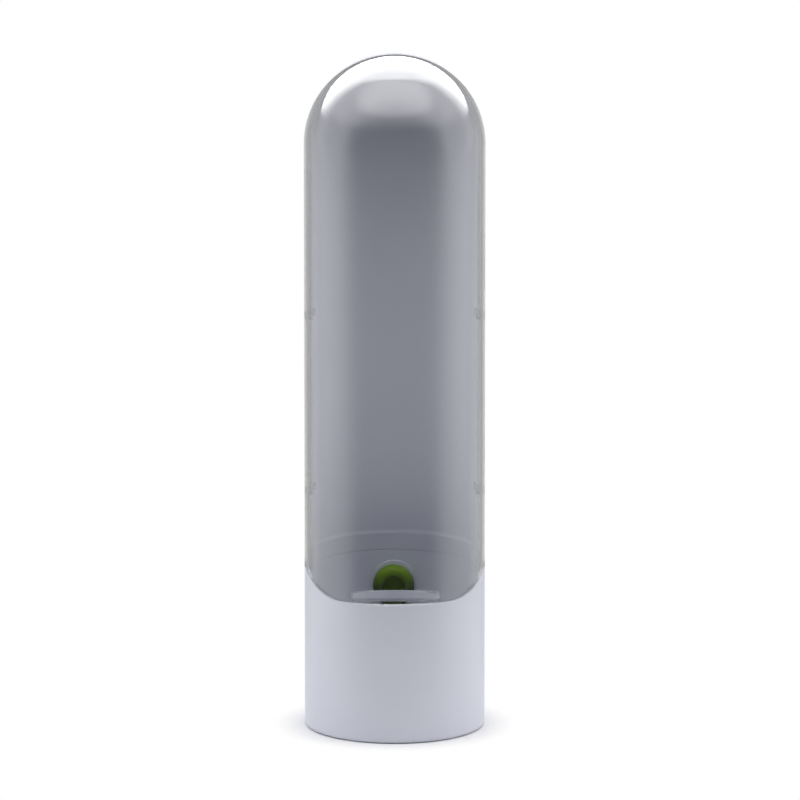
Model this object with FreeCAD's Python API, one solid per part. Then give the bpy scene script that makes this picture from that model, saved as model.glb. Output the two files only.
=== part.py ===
import FreeCAD, Part
import math
import os

from FreeCAD import Vector

# Herb keeper for a refrigerator door.
# Frame: origin at the middle of the resting face, +Z up, the clear cover faces -Y. Millimetres.

# Whole object
BODY_DIAMETER = 65.0
OVERALL_HEIGHT = 245.0

# Reservoir cup
CUP_WALL = 2.5
CUP_FLOOR = 2.5
CUP_FLOOR_FILLET = 4.0
CUP_EDGE_RADIUS = 1.8        # round between the side and the foot ring
FOOT_RING_WIDTH = 4.5
FOOT_RECESS = 1.2            # underside stands this far above the foot ring
RIM_DROP = 0.5               # back rim below the top of the sill's corners
RIM_BEVEL = 0.3              # each side of the seam round the back
SILL_HEIGHT = 51.0           # front edge at the middle
SILL_CORNER_RADIUS = 13.5    # seen square to the front
SILL_OVERWIDTH = 0.5         # the front cut is this much wider than the body, each side
SILL_CHAMFER = 0.6

# Back shell
SHELL_WALL = 2.0
SPIGOT_DEPTH = 6.0           # goes down inside the cup's rim
SPIGOT_WALL = 1.0
SPIGOT_BLEND = 1.5           # height over which the spigot blends into the shell
SPIGOT_END = 1.8             # the spigot stops this far behind the parting plane
SPIGOT_LEAD = 0.4
REBATE_LIP_WALL = 1.2        # lip that stands inside the cover's back edge
REBATE_LIP_FRONT = 2.0       # reach in front of the parting plane
REBATE_LIP_BACK = 3.0        # reach behind it
REBATE_LIP_BLEND = 0.8

# Clear cover
COVER_WALL = 1.6
LUG_HEIGHTS = (87.0, 151.0)
LUG_LENGTH = 2.6             # along Z
LUG_WALL = 1.0
LUG_REACH = 4.5              # behind the parting plane
LUG_ROOT = 5.0               # in front of it
TAB_WIDTH = 31.6
TAB_HEIGHT = 3.8
TAB_REACH = 2.0              # in front of the body, at the middle
TAB_ABOVE_SILL = 1.9
TAB_NOSE = 1.2               # height of its front edge, below the sloped top
TAB_CROWN_RADIUS = 80.0      # its top, seen from the front
TAB_BEVEL = 0.3

# Water plug
PLUG_HEIGHT = 44.8           # axis above the resting face
PLUG_RADIUS = 7.6
PLUG_BORE_RADIUS = 3.6       # blind hollow that opens into the cup
PLUG_INSIDE_REACH = 4.2      # stub stands out of its collar by this much
PLUG_FLANGE_RADIUS = 10.0
PLUG_FLANGE_THICKNESS = 1.7
PLUG_EAR_WIDTH = 9.0
PLUG_EAR_REACH = 7.0         # below the flange
PLUG_EAR_THICKNESS = 1.7
COLLAR_WALL = 1.5
COLLAR_REACH = 0.8           # inside the cup's wall, at the plug's axis
FLANGE_SEAT_DEPTH = 0.8

# Clearances
COVER_CLEARANCE = 0.2        # cover to cup and to back shell
SPIGOT_CLEARANCE = 0.1       # spigot to cup, across the radius and below it
LUG_CLEARANCE = 0.2
PLUG_CLEARANCE = 0.08        # plug to its bore, across the radius
FLANGE_CLEARANCE = 0.3       # flange and ear to the cup's wall

# Worked out from the sizes above
BODY_RADIUS = BODY_DIAMETER / 2
DOME_CENTRE = OVERALL_HEIGHT - BODY_RADIUS
CUP_RADIUS = BODY_RADIUS - CUP_WALL
FLOOR_TOP = FOOT_RECESS + CUP_FLOOR
RIM_HEIGHT = SILL_HEIGHT + SILL_CORNER_RADIUS - RIM_DROP
SHELL_RADIUS = BODY_RADIUS - SHELL_WALL
COVER_RADIUS = BODY_RADIUS - COVER_WALL
LIP_RADIUS = COVER_RADIUS - COVER_CLEARANCE
REBATE_LIP_RADIUS = LIP_RADIUS - REBATE_LIP_WALL
SPIGOT_RADIUS = CUP_RADIUS + SPIGOT_WALL
LUG_RADIUS = SHELL_RADIUS - LUG_CLEARANCE
SEAT_RADIUS = BODY_RADIUS - FLANGE_SEAT_DEPTH
FLANGE_INNER_RADIUS = SEAT_RADIUS + FLANGE_CLEARANCE
FLANGE_OUTER_RADIUS = FLANGE_INNER_RADIUS + PLUG_FLANGE_THICKNESS
EAR_INNER_RADIUS = BODY_RADIUS + FLANGE_CLEARANCE
COLLAR_FACE = CUP_RADIUS - COLLAR_REACH

# Modelling aids
PAST = 5.0                   # how far a cutting solid runs past what it cuts
FAR = BODY_RADIUS + PAST
NEAR = 0.01                  # an edge this close to a surface lies on it
ROUND_STEP = 60.0            # degrees of a small moulded round that one flat may cover

X_AXIS = Vector(1, 0, 0)
Y_AXIS = Vector(0, 1, 0)
Z_AXIS = Vector(0, 0, 1)


def line(start, end):
    return Part.LineSegment(Vector(*start), Vector(*end)).toShape()


def arc(start, middle, end):
    return Part.Arc(Vector(*start), Vector(*middle), Vector(*end)).toShape()


def polyline(points):
    """Edges along the points and back to the first one."""
    return [line(a, b) for a, b in zip(points, points[1:] + points[:1])]


def face(edges):
    return Part.Face(Part.Wire(edges))


def on_arc(centre_x, centre_z, radius, degrees):
    """Point of an arc in the XZ plane."""
    turn = math.radians(degrees)
    return (centre_x + radius * math.cos(turn), 0, centre_z + radius * math.sin(turn))


def rounded(centre_x, centre_z, radius, start, end):
    """Points of a moulded round, from one angle to another, in short flats."""
    count = math.ceil(abs(end - start) / ROUND_STEP)
    turns = [start + (end - start) * step / count for step in range(count + 1)]
    return [on_arc(centre_x, centre_z, radius, turn) for turn in turns]


def turned(edges):
    """Solid of revolution about the body's axis, from an outline in the XZ plane."""
    return face(edges).revolve(Vector(0, 0, 0), Z_AXIS)


def tube(inner, outer, low, high):
    return turned(polyline([(inner, 0, low), (outer, 0, low), (outer, 0, high), (inner, 0, high)]))


def rod(radius, start_y, end_y, z):
    """Round rod along Y."""
    return Part.makeCylinder(radius, end_y - start_y, Vector(0, start_y, z), Y_AXIS)


def slab(y_low, y_high, z_low=-PAST, z_high=OVERALL_HEIGHT + PAST, x_low=-FAR, x_high=FAR):
    size = (x_high - x_low, y_high - y_low, z_high - z_low)
    return Part.makeBox(*size, Vector(x_low, y_low, z_low))


def domed_wall(inner, outer, bottom, pole):
    """Upright round wall that closes in a dome. The pole of its spheres points clear of the part."""
    centre = Vector(0, 0, DOME_CENTRE)
    dome = Part.makeSphere(outer, centre, pole).cut(Part.makeSphere(inner, centre, pole))
    dome = dome.common(slab(-FAR, FAR, DOME_CENTRE))
    return tube(inner, outer, bottom, DOME_CENTRE).fuse(dome)


def front_window(inset, y_back=0.0):
    """Prism through the front half: flat sill, round lower corners, open at the top."""
    half = BODY_RADIUS + SILL_OVERWIDTH - inset
    radius = SILL_CORNER_RADIUS - inset
    sill = SILL_HEIGHT + inset
    top = OVERALL_HEIGHT + PAST
    centre_x = half - radius
    centre_z = sill + radius
    outline = [
        line((-half, 0, top), (-half, 0, centre_z)),
        arc((-half, 0, centre_z), on_arc(-centre_x, centre_z, radius, 225), (-centre_x, 0, sill)),
        line((-centre_x, 0, sill), (centre_x, 0, sill)),
        arc((centre_x, 0, sill), on_arc(centre_x, centre_z, radius, 315), (half, 0, centre_z)),
        line((half, 0, centre_z), (half, 0, top)),
        line((half, 0, top), (-half, 0, top)),
    ]
    prism = face(outline)
    prism.translate(Vector(0, y_back, 0))
    return prism.extrude(Vector(0, -FAR - y_back, 0))


def radius_of(point):
    return math.hypot(point.x, point.y)


def edges_where(shape, test):
    """Edges whose quarter, middle and three-quarter points all pass the test."""
    chosen = []
    for edge in shape.Edges:
        first, last = edge.ParameterRange
        points = [edge.valueAt(first + (last - first) * share) for share in (0.25, 0.5, 0.75)]
        if all(test(point) for point in points):
            chosen.append(edge)
    return chosen


def cup_blank():
    """The cup as turned: foot ring, round lower edge, straight side, filleted floor."""
    foot = BODY_RADIUS - CUP_EDGE_RADIUS - FOOT_RING_WIDTH
    outline = [(0, 0, FOOT_RECESS), (foot - FOOT_RECESS, 0, FOOT_RECESS), (foot, 0, 0)]
    outline += rounded(BODY_RADIUS - CUP_EDGE_RADIUS, CUP_EDGE_RADIUS, CUP_EDGE_RADIUS, 270, 360)
    outline += [
        (BODY_RADIUS, 0, RIM_HEIGHT - RIM_BEVEL),
        (BODY_RADIUS - RIM_BEVEL, 0, RIM_HEIGHT),
        (CUP_RADIUS, 0, RIM_HEIGHT),
    ]
    outline += rounded(CUP_RADIUS - CUP_FLOOR_FILLET, FLOOR_TOP + CUP_FLOOR_FILLET, CUP_FLOOR_FILLET,
                       360, 270)
    outline.append((0, 0, FLOOR_TOP))
    return turned(polyline(outline))


def plug_collar():
    collar = rod(PLUG_RADIUS + PLUG_CLEARANCE + COLLAR_WALL, COLLAR_FACE, BODY_RADIUS, PLUG_HEIGHT)
    return collar.common(Part.makeCylinder(SEAT_RADIUS, RIM_HEIGHT))


def cup_front():
    """Front half, cut to the sill: the cut runs right through, so that its bevel closes on itself."""
    blank = cup_blank().cut(front_window(0.0, FAR))
    sill_edge = edges_where(
        blank,
        lambda p: abs(radius_of(p) - BODY_RADIUS) < NEAR and p.z > SILL_HEIGHT - NEAR,
    )
    return blank.makeChamfer(SILL_CHAMFER, sill_edge).common(slab(-FAR, 0, SILL_HEIGHT / 2))


def base_cup():
    cup = cup_blank().cut(slab(-FAR, 0, SILL_HEIGHT / 2)).fuse(cup_front())
    spigot_space = tube(CUP_RADIUS - PAST, SPIGOT_RADIUS + SPIGOT_CLEARANCE,
                        RIM_HEIGHT - SPIGOT_DEPTH - SPIGOT_CLEARANCE, RIM_HEIGHT + PAST)
    cup = cup.cut(spigot_space.common(slab(SPIGOT_END - COVER_CLEARANCE, FAR)))
    seat = tube(SEAT_RADIUS, FAR, 0, RIM_HEIGHT)
    seat = seat.common(rod(PLUG_FLANGE_RADIUS + FLANGE_CLEARANCE, 0, FAR, PLUG_HEIGHT))
    bore = rod(PLUG_RADIUS + PLUG_CLEARANCE, 0, FAR, PLUG_HEIGHT)
    return cup.cut(seat).fuse(plug_collar()).cut(bore)


def spigot():
    low = RIM_HEIGHT - SPIGOT_DEPTH
    outline = [
        (CUP_RADIUS, 0, low),
        (SPIGOT_RADIUS - SPIGOT_LEAD, 0, low),
        (SPIGOT_RADIUS, 0, low + SPIGOT_LEAD),
        (SPIGOT_RADIUS, 0, RIM_HEIGHT + SPIGOT_BLEND),
        (SHELL_RADIUS, 0, RIM_HEIGHT + SPIGOT_BLEND),
        (CUP_RADIUS, 0, RIM_HEIGHT),
    ]
    return turned(polyline(outline)).common(slab(SPIGOT_END, FAR))


def rebate_lip():
    """Hoop that the cover's back edge closes over, with a notch for each of the cover's lugs."""
    hoop = domed_wall(REBATE_LIP_RADIUS, LIP_RADIUS, RIM_HEIGHT + COVER_CLEARANCE, Y_AXIS)
    hoop = hoop.common(slab(-REBATE_LIP_FRONT, REBATE_LIP_BACK))
    inner_edge = edges_where(
        hoop,
        lambda p: abs(p.y - REBATE_LIP_BACK) < NEAR and p.z > RIM_HEIGHT + PAST
        and math.hypot(radius_of(p), max(p.z - DOME_CENTRE, 0)) < REBATE_LIP_RADIUS + NEAR,
    )
    hoop = hoop.makeChamfer(REBATE_LIP_BLEND, inner_edge)
    half = LUG_LENGTH / 2 + LUG_CLEARANCE
    for z in LUG_HEIGHTS:
        hoop = hoop.cut(slab(-FAR, FAR, z - half, z + half))
    return hoop


def rear_shell():
    shell = domed_wall(SHELL_RADIUS, BODY_RADIUS, RIM_HEIGHT, Z_AXIS - Y_AXIS).common(slab(0, FAR))
    rim = edges_where(
        shell,
        lambda p: abs(p.z - RIM_HEIGHT) < NEAR and radius_of(p) > BODY_RADIUS - NEAR,
    )
    shell = shell.makeChamfer(RIM_BEVEL, rim)
    return shell.fuse([spigot(), rebate_lip()])


def finger_tab():
    """Straight bar across the cover's foot: flat below, sloped above, higher at the middle."""
    low = SILL_HEIGHT + TAB_ABOVE_SILL
    top = low + TAB_HEIGHT
    end = -TAB_WIDTH / 2
    front_y = -BODY_RADIUS - TAB_REACH
    outline = [(end, 0, low), (end, front_y, low), (end, front_y, low + TAB_NOSE)]
    outline += [(end, -BODY_RADIUS, top), (end, 0, top)]
    bar = face(polyline(outline)).extrude(Vector(TAB_WIDTH, 0, 0))
    bar = bar.common(rod(TAB_CROWN_RADIUS, -FAR, 0, top - TAB_CROWN_RADIUS))
    front = edges_where(bar, lambda p: p.y < front_y + NEAR)
    bar = bar.makeChamfer(TAB_BEVEL, front)
    return bar.cut(Part.makeCylinder(BODY_RADIUS - COVER_WALL / 2, OVERALL_HEIGHT))


def cover_lugs():
    """Two lugs a side: rooted inside the cover's wall, reaching behind the back shell's edge."""
    tongue = tube(LUG_RADIUS - LUG_WALL, LUG_RADIUS, RIM_HEIGHT, DOME_CENTRE)
    tongue = tongue.common(slab(-LUG_ROOT, LUG_REACH))
    root = tube(LUG_RADIUS - LUG_WALL, COVER_RADIUS + COVER_WALL / 2, RIM_HEIGHT, DOME_CENTRE)
    root = root.common(slab(-LUG_ROOT, -COVER_CLEARANCE))
    rail = tongue.fuse(root)
    return [rail.common(slab(-FAR, FAR, z - LUG_LENGTH / 2, z + LUG_LENGTH / 2)) for z in LUG_HEIGHTS]


def front_cover():
    cover = domed_wall(COVER_RADIUS, BODY_RADIUS, SILL_HEIGHT, Z_AXIS + Y_AXIS)
    cover = cover.common(front_window(COVER_CLEARANCE, -COVER_CLEARANCE))
    return cover.fuse([finger_tab()] + cover_lugs())


def plug_stub():
    """Stub along Y, with a blind hollow and a full round at its inner end."""
    crown = (PLUG_RADIUS - PLUG_BORE_RADIUS) / 2
    inner_end = COLLAR_FACE - PLUG_INSIDE_REACH
    outline = [(0, 0, CUP_RADIUS), (PLUG_BORE_RADIUS, 0, CUP_RADIUS)]
    outline += rounded(PLUG_BORE_RADIUS + crown, inner_end + crown, crown, 180, 360)
    outline += [(PLUG_RADIUS, 0, FAR), (0, 0, FAR)]
    stub = turned(polyline(outline))
    stub.rotate(Vector(0, 0, 0), X_AXIS, -90)
    stub.translate(Vector(0, 0, PLUG_HEIGHT))
    return stub.common(Part.makeCylinder(FLANGE_OUTER_RADIUS, RIM_HEIGHT))


def plug_flange():
    """Round flange that follows the curve of the wall, with an ear below it to pull."""
    band = tube(FLANGE_INNER_RADIUS, FLANGE_OUTER_RADIUS, 0, RIM_HEIGHT)
    flange = band.common(rod(PLUG_FLANGE_RADIUS, 0, FAR, PLUG_HEIGHT))
    end_z = PLUG_HEIGHT - PLUG_FLANGE_RADIUS - PLUG_EAR_REACH + PLUG_EAR_WIDTH / 2
    outline = slab(0, FAR, end_z, PLUG_HEIGHT, -PLUG_EAR_WIDTH / 2, PLUG_EAR_WIDTH / 2)
    outline = outline.fuse(rod(PLUG_EAR_WIDTH / 2, 0, FAR, end_z))
    ear_band = tube(EAR_INNER_RADIUS, EAR_INNER_RADIUS + PLUG_EAR_THICKNESS, 0, RIM_HEIGHT)
    return flange.fuse(ear_band.common(outline))


def water_plug():
    return plug_stub().fuse(plug_flange())


def save(name, shape):
    solid = shape.removeSplitter()
    solids = solid.Solids
    assert len(solids) == 1, f"{name} came out as {len(solids)} solids"
    assert solid.isValid(), f"{name} is not a valid solid"
    solids[0].exportStep(os.path.join("parts", name + ".step"))
    box = solid.optimalBoundingBox(False)
    print(f"{name}: volume {solid.Volume / 1000:.2f} cm3,"
          f" X {box.XMin:.2f}..{box.XMax:.2f}, Y {box.YMin:.2f}..{box.YMax:.2f},"
          f" Z {box.ZMin:.2f}..{box.ZMax:.2f}")


os.makedirs("parts", exist_ok=True)
save("base_cup", base_cup())
save("rear_shell", rear_shell())
save("front_cover", front_cover())
save("water_plug", water_plug())
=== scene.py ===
import math

import bmesh
import bpy
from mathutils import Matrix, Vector


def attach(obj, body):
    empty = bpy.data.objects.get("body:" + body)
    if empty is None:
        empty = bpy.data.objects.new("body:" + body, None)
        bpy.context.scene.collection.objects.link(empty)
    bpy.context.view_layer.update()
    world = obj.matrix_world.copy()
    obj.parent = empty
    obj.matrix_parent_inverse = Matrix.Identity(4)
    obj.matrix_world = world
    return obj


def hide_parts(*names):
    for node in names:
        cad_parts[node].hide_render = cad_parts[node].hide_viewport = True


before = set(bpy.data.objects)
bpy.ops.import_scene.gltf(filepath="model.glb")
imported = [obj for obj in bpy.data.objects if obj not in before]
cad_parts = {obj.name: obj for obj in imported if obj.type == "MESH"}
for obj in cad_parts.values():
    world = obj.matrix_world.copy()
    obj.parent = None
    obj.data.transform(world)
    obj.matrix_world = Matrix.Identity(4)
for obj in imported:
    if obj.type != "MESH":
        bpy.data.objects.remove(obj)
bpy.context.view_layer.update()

MM = 0.001

# Herb keeper, in millimetres: the origin is in the middle of the resting face, the cover faces -Y.
BODY_RADIUS = 32.5
HEIGHT = 245.0
DOME_Z = HEIGHT - BODY_RADIUS

# How finely the shapes are divided, and where an edge counts as sharp
HALF_ROUND_STEPS = 72     # steps round half of the body
WALL_ROWS = 41
UPRIGHT_SHARE = 0.25      # share of a wall's rows below the dome
EASE_ANGLE = 50           # degrees: steeper edges are rounded
SHARP_ANGLE = 35          # degrees: steeper edges stay sharp in the shading
MERGE_DISTANCE = 1e-6     # metres
ROUND_WALL_SLACK = 0.02   # corners of a round wall's face are equally far out to within this
ROUND_WALL_ANGLE = 8      # degrees between that face and its exact normal at most
JOIN = 0.05               # how far the spigot reaches into the wall it joins
CUT_PAST = 1.0            # how far a cutting shape reaches past the surface
NOTCH_REACH = 4.0

# Sill: the cup's front edge, a flat with round corners that climb to the sides
SILL_Z = 51.0
SILL_CORNER = 13.5
SILL_HALF_FLAT = 19.5
SILL_CORNER_Z = SILL_Z + SILL_CORNER
SILL_BEVEL = 0.6
SILL_POINTS_IN = (1.0, 0.7)    # two more points on its top, in from the outside and the inside
SILL_POINT_ROUND = 0.1

# Reservoir cup
CUP_INNER = 30.0
CUP_UNDERSIDE = 1.2
CUP_FLOOR = 3.7
CUP_FLOOR_ROUND = 4.0
CUP_EDGE_ROUND = 1.8
FOOT_WIDTH = 4.5
FOOT_ROUND = 0.3
RIM_Z = 64.0
RIM_BEVEL = 0.3
RIM_STEP_ROUND = 0.08
RIM_FLAT = 0.4            # beside the spigot, the rim goes on flat for this far
FINE_ROUND = 0.15

# Back shell, with a spigot that enters the cup and a hoop that the cover closes over
SHELL_WALL = 2.0
SPIGOT_OUTER = 31.0
SPIGOT_Z = 58.0
SPIGOT_LEAD = 0.4
SPIGOT_BLEND = 1.5
SPIGOT_ROOT_Z = RIM_Z + 2
SPIGOT_NECK_ROUND = 0.4
SPIGOT_START_Y = 1.8
SPIGOT_ROOM = 31.1
SPIGOT_ROOM_Z = 57.9
CUP_SIDE_END = 93.0    # degrees from the front, where the room for the spigot starts
HOOP_INNER = 29.5
HOOP_OUTER = 30.7
HOOP_FRONT_Y = -2.0
HOOP_BACK_Y = 3.0
HOOP_Z = 64.2

# Clear cover
COVER_WALL = 1.6
COVER_GAP = 0.2
LUG_ZS = (87.0, 151.0)
LUG_LENGTH = 2.6
LUG_NOTCH = 3.0
LUG_OUTER = 30.3
LUG_INNER = 29.3
LUG_ROOT_Y = -5.0
LUG_TIP_Y = 4.5
TAB_HALF_WIDTH = 15.8
TAB_FRONT_Y = -34.5
TAB_Z = (52.9, 56.7)
TAB_NOSE_Z = 54.1
TAB_CROWN = 80.0
TAB_ROUND = 0.35

# Round of a moulded edge, and of a silicone one
EDGE_ROUND = 0.2
SOFT_EDGE_ROUND = 0.4

# Water plug and the collar it sits in
PLUG_Z = 44.8
PLUG_RADIUS = 7.6
PLUG_BORE = 3.6
PLUG_BORE_ROUND = 0.3
PLUG_END_Y = 25.0
FLANGE_RADIUS = 10.0
FLANGE_SKINS = (32.0, 33.7)
EAR_HALF_WIDTH = 4.5
EAR_START_Z = 44.6
EAR_END_Z = 27.8
EAR_SKINS = (32.8, 34.5)
HOLE_RADIUS = 7.68
COLLAR_RADIUS = 9.18
COLLAR_Y = 29.2
COLLAR_ROOT_Y = 30.15
COLLAR_ROUND = 0.3
SEAT_RADIUS = 10.3
SEAT_SKIN = 31.7


def linear(hex_colour):
    """sRGB hex to a linear colour with alpha."""
    parts = [int(hex_colour[i:i + 2], 16) / 255 for i in (1, 3, 5)]
    return [c / 12.92 if c <= 0.04045 else ((c + 0.055) / 1.055) ** 2.4 for c in parts] + [1.0]


def add(tree, kind, inputs=None, **settings):
    """Adds a node with its settings. An input takes a value, or the socket that feeds it."""
    node = tree.nodes.new(kind)
    for name, value in settings.items():
        setattr(node, name, value)
    for socket, value in (inputs or {}).items():
        if isinstance(value, bpy.types.NodeSocket):
            tree.links.new(value, node.inputs[socket])
        else:
            node.inputs[socket].default_value = value
    return node


def calc(tree, operation, *values):
    """Result of a Math node."""
    return add(tree, "ShaderNodeMath", dict(enumerate(values)), operation=operation).outputs[0]


def ranged(tree, value, span, result=(0.0, 1.0), smooth=False):
    """A value taken from one span to another, and held at the ends."""
    return add(tree, "ShaderNodeMapRange", {
        "Value": value, "From Min": span[0], "From Max": span[1], "To Min": result[0],
        "To Max": result[1]}, interpolation_type="SMOOTHSTEP" if smooth else "LINEAR").outputs[0]


# Materials

GRIP_FROST = 0.4          # roughness of the tab
GRIP_CLEAR = 0.7          # share of the view that goes straight through the tab
GRIP_START = (0.02, 0.1)  # it sets in between these distances from the round wall
PAINTED_SHADE_ZS = (44.0, 51.5)    # full painted shade below the first height, none above the second
PAINTED_SHADE_SHARE = 0.8
PAINTED_SHADE_END = 0.5            # the painted shade stops this far inside the cup's wall
PAINTED_SHADE_RING = 1.0           # round the hollow it fades out over this width


def new_material(name):
    """An empty node material and its tree."""
    material = bpy.data.materials.new(name)
    material.use_nodes = True
    material.node_tree.nodes.clear()
    return material, material.node_tree


def white_moulded_abs():
    """ABS, injection moulded in a fine-textured tool: a cool white with a soft satin sheen."""
    material, tree = new_material("white_abs_fine_texture_moulded")
    place = add(tree, "ShaderNodeTexCoord").outputs["Object"]
    # Melt flow leaves cloudy tone a few centimetres across, almost too faint to see
    flow = add(tree, "ShaderNodeTexNoise", {"Vector": place, "Scale": 28.0, "Detail": 2.0})
    tone = add(tree, "ShaderNodeMix", {0: flow.outputs["Fac"], 6: linear("#D8DAE6"),
                                       7: linear("#DFE1EC")}, data_type="RGBA")
    # Tool texture: about 0.05 mm on the real part, drawn at 0.5 mm so that it shows
    grain = add(tree, "ShaderNodeTexNoise", {"Vector": place, "Scale": 2000.0, "Detail": 2.0})
    gloss = ranged(tree, grain.outputs["Fac"], (0.0, 1.0), (0.30, 0.42))
    bump = add(tree, "ShaderNodeBump", {"Height": grain.outputs["Fac"], "Strength": 0.12,
                                        "Distance": 0.00002})
    shader = add(tree, "ShaderNodeBsdfPrincipled", {
        "Base Color": tone.outputs[2], "Roughness": gloss, "IOR": 1.53,
        "Normal": bump.outputs["Normal"]})
    add(tree, "ShaderNodeOutputMaterial", {"Surface": shader.outputs["BSDF"]})
    return material


def clear_moulded_styrene():
    """Clear styrene, injection moulded and polished, with a frosted grip on the finger tab."""
    material, tree = new_material("clear_styrene_polished_moulded")
    place = add(tree, "ShaderNodeTexCoord").outputs["Object"]
    # Shrinkage leaves shallow waves about 15 mm long
    waves = add(tree, "ShaderNodeTexNoise", {"Vector": place, "Scale": 60.0, "Detail": 1.0})
    bump = add(tree, "ShaderNodeBump", {"Height": waves.outputs["Fac"], "Strength": 0.25,
                                        "Distance": 0.0002})
    # Handling marks: a thin haze in patches
    haze = add(tree, "ShaderNodeTexNoise", {"Vector": place, "Scale": 160.0, "Detail": 4.0})
    rough = ranged(tree, haze.outputs["Fac"], (0.35, 0.8), (0.0, 0.05))
    # Whatever stands out in front of the round wall is the tab, which the tool leaves frosted
    flat = add(tree, "ShaderNodeVectorMath", {0: place, 1: (1.0, 1.0, 0.0)}, operation="MULTIPLY")
    out = add(tree, "ShaderNodeVectorMath", {0: flat.outputs[0]}, operation="LENGTH")
    grip = ranged(tree, out.outputs["Value"], [(BODY_RADIUS + d) * MM for d in GRIP_START])
    frost = calc(tree, "MULTIPLY", grip, GRIP_FROST)
    finish = calc(tree, "MAXIMUM", rough, frost)
    # Seen at a slant the glass turns darker grey: painted shade that draws the cover's outline,
    # much more than the faint tint of the longer path through the wall
    slant = add(tree, "ShaderNodeLayerWeight", {"Blend": 0.5}).outputs["Facing"]
    painted_edge_shade = calc(tree, "POWER", slant, 4.0)
    tint_and_edge_shade = add(tree, "ShaderNodeMix", {0: painted_edge_shade, 6: linear("#FCFDFD"),
                                       7: linear("#8A8D92")}, data_type="RGBA")
    glass = add(tree, "ShaderNodeBsdfPrincipled", {
        "Base Color": tint_and_edge_shade.outputs[2], "Roughness": finish, "IOR": 1.57,
        "Transmission Weight": 1.0, "Normal": bump.outputs["Normal"]})
    # Lamps and bounced light pass through the thin wall, with more loss at a slant
    grazing = calc(tree, "POWER", slant, 5.0)
    passed = ranged(tree, grazing, (0.0, 1.0), (0.97, 0.0))
    clear = add(tree, "ShaderNodeBsdfTransparent", {"Color": passed})
    path = add(tree, "ShaderNodeLightPath")
    through = calc(tree, "MAXIMUM", path.outputs["Is Shadow Ray"], path.outputs["Is Diffuse Ray"])
    # The frost scatters little, so most of the view goes straight through the tab
    straight = calc(tree, "MULTIPLY", grip, GRIP_CLEAR)
    through = calc(tree, "MAXIMUM", through, straight)
    mix = add(tree, "ShaderNodeMixShader", {"Fac": through, 1: glass.outputs["BSDF"],
                                            2: clear.outputs["BSDF"]})
    add(tree, "ShaderNodeOutputMaterial", {"Surface": mix.outputs["Shader"]})
    return material


def green_silicone():
    """Silicone rubber, compression moulded: a deep leaf green with a soft, dusty gloss."""
    material, tree = new_material("green_silicone_compression_moulded")
    place = add(tree, "ShaderNodeTexCoord").outputs["Object"]
    dust = add(tree, "ShaderNodeTexNoise", {"Vector": place, "Scale": 900.0, "Detail": 3.0})
    tone = add(tree, "ShaderNodeMix", {0: dust.outputs["Fac"], 6: linear("#6C8E0A"),
                                       7: linear("#80A816")}, data_type="RGBA")
    # Painted shade on the end in the cup, darkest low down and in the hollow, where shade falls
    split = add(tree, "ShaderNodeSeparateXYZ", {0: place})
    inside = calc(tree, "LESS_THAN", split.outputs["Y"], (CUP_INNER - PAINTED_SHADE_END) * MM)
    low = ranged(tree, split.outputs["Z"], [z * MM for z in PAINTED_SHADE_ZS], (1.0, 0.0), smooth=True)
    off = add(tree, "ShaderNodeVectorMath", {0: place, 1: (0.0, 0.0, PLUG_Z * MM)},
              operation="SUBTRACT")
    off = add(tree, "ShaderNodeVectorMath", {0: off.outputs[0], 1: (1.0, 0.0, 1.0)},
              operation="MULTIPLY")
    off = add(tree, "ShaderNodeVectorMath", {0: off.outputs[0]}, operation="LENGTH")
    bore = ranged(tree, off.outputs["Value"],
                  (PLUG_BORE * MM, (PLUG_BORE + PAINTED_SHADE_RING) * MM), (1.0, 0.0))
    painted_shade = calc(tree, "MAXIMUM", low, bore)
    painted_shade = calc(tree, "MULTIPLY", painted_shade, inside)
    painted_shade = calc(tree, "MULTIPLY", painted_shade, PAINTED_SHADE_SHARE)
    tone = add(tree, "ShaderNodeMix", {0: painted_shade, 6: tone.outputs[2],
                                       7: linear("#1F2A1C")}, data_type="RGBA")
    gloss = ranged(tree, dust.outputs["Fac"], (0.0, 1.0), (0.32, 0.55))
    bump = add(tree, "ShaderNodeBump", {"Height": dust.outputs["Fac"], "Strength": 0.2,
                                        "Distance": 0.00003})
    shader = add(tree, "ShaderNodeBsdfPrincipled", {
        "Base Color": tone.outputs[2], "Roughness": gloss, "IOR": 1.41,
        "Normal": bump.outputs["Normal"]})
    add(tree, "ShaderNodeOutputMaterial", {"Surface": shader.outputs["BSDF"]})
    return material


# Meshes

def body_object(name, mesh, material):
    """Object of a mesh, in this material if the mesh brings none."""
    obj = bpy.data.objects.new(name, mesh)
    bpy.context.scene.collection.objects.link(obj)
    if not obj.data.materials:
        obj.data.materials.append(material)
    return obj


def settled(obj):
    """Turns an object's modifiers into its plain mesh."""
    bpy.context.view_layer.update()
    mesh = bpy.data.meshes.new_from_object(obj.evaluated_get(bpy.context.evaluated_depsgraph_get()))
    obj.modifiers.clear()
    obj.data = mesh
    return obj


def closed_body(name, shape, material):
    """Merges what meets, points the faces outwards and makes the object."""
    bmesh.ops.remove_doubles(shape, verts=shape.verts, dist=MERGE_DISTANCE)
    bmesh.ops.dissolve_degenerate(shape, edges=shape.edges, dist=MERGE_DISTANCE / 10)
    bmesh.ops.recalc_face_normals(shape, faces=shape.faces)
    mesh = bpy.data.meshes.new(name)
    shape.to_mesh(mesh)
    shape.free()
    return body_object(name, mesh, material)


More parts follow.
